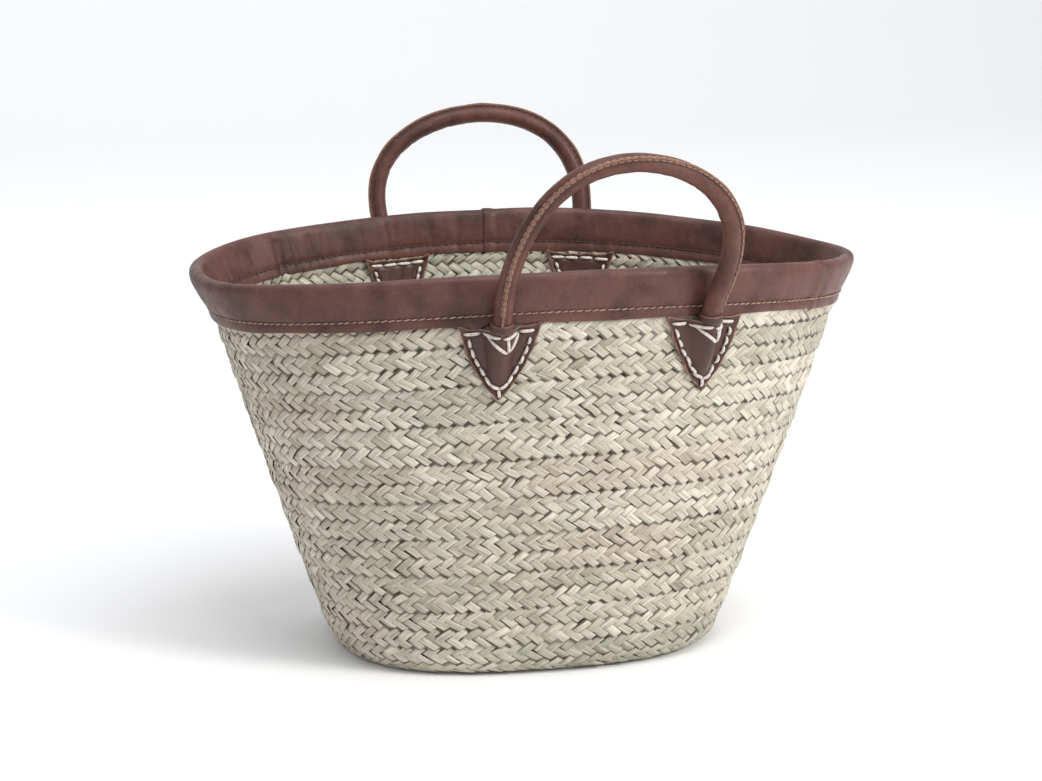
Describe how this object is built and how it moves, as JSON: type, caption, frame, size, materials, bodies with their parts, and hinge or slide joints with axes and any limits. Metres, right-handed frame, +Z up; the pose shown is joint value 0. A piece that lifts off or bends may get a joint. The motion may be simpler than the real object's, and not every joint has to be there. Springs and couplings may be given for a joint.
{
  "type": "woven market basket",
  "caption": "Oval market basket of plaited palm leaf sewn in a spiral, with a folded leather rim and two leather-covered rope handles that swing.",
  "frame": {"origin": "centre of the flat bottom, on the surface that the basket stands on", "axes": "+Z up, +X along the mouth towards the sharper tip, -Y towards the front handle"},
  "size_m": [0.4803, 0.3692, 0.3801],
  "materials": {
    "palm_leaf": "dry matte plaited palm leaf with a faint sheen along the leaf",
    "leather": "semi-gloss reddish brown vegetable-tanned leather with soft mottling",
    "cord": "matte off-white waxed cotton cord",
    "thread": "matte tan sewing thread",
    "rope": "matte natural fibre rope"
  },
  "bodies": {
    "basket": {"bottom_core": "palm_leaf", "bottom_turn": "palm_leaf", "edge_turn_lower": "palm_leaf", "edge_turn_upper": "palm_leaf", "wall_turn_01": "palm_leaf", "wall_turn_02": "palm_leaf", "wall_turn_03": "palm_leaf", "wall_turn_04": "palm_leaf", "wall_turn_05": "palm_leaf", "wall_turn_06": "palm_leaf", "wall_turn_07": "palm_leaf", "wall_turn_08": "palm_leaf", "wall_turn_09": "palm_leaf", "wall_turn_10": "palm_leaf", "rim_leather_left": "leather", "rim_leather_right": "leather", "rim_thread_outside": "thread", "rim_thread_inside": "thread", "front_left_outer_patch": "leather", "front_left_outer_stitching": "cord", "front_left_inner_patch": "leather", "front_left_inner_stitching": "cord", "front_left_collar": "leather", "front_left_leg_cover": "leather", "front_left_rope_end": "rope", "front_right_outer_patch": "leather", "front_right_outer_stitching": "cord", "front_right_inner_patch": "leather", "front_right_inner_stitching": "cord", "front_right_collar": "leather", "front_right_leg_cover": "leather", "front_right_rope_end": "rope", "back_left_outer_patch": "leather", "back_left_outer_stitching": "cord", "back_left_inner_patch": "leather", "back_left_inner_stitching": "cord", "back_left_collar": "leather", "back_left_leg_cover": "leather", "back_left_rope_end": "rope", "back_right_outer_patch": "leather", "back_right_outer_stitching": "cord", "back_right_inner_patch": "leather", "back_right_inner_stitching": "cord", "back_right_collar": "leather", "back_right_leg_cover": "leather", "back_right_rope_end": "rope"},
    "front_handle": {"front_handle_cover": "leather", "front_handle_rope": "rope", "front_handle_thread": "thread"},
    "back_handle": {"back_handle_cover": "leather", "back_handle_rope": "rope", "back_handle_thread": "thread"}
  },
  "joints": [
    {"name": "front_handle_swing", "type": "hinge", "parent": "basket", "child": "front_handle", "pos_m": [-0.0555, -0.15335, 0.26972], "axis": [0.9976, 0.0682, -0.0095], "range_deg": [-16, 80]},
    {"name": "back_handle_swing", "type": "hinge", "parent": "basket", "child": "back_handle", "pos_m": [-0.07505, 0.15117, 0.26903], "axis": [0.9998, -0.0223, 0.0009], "range_deg": [-86, 12]}
  ]
}
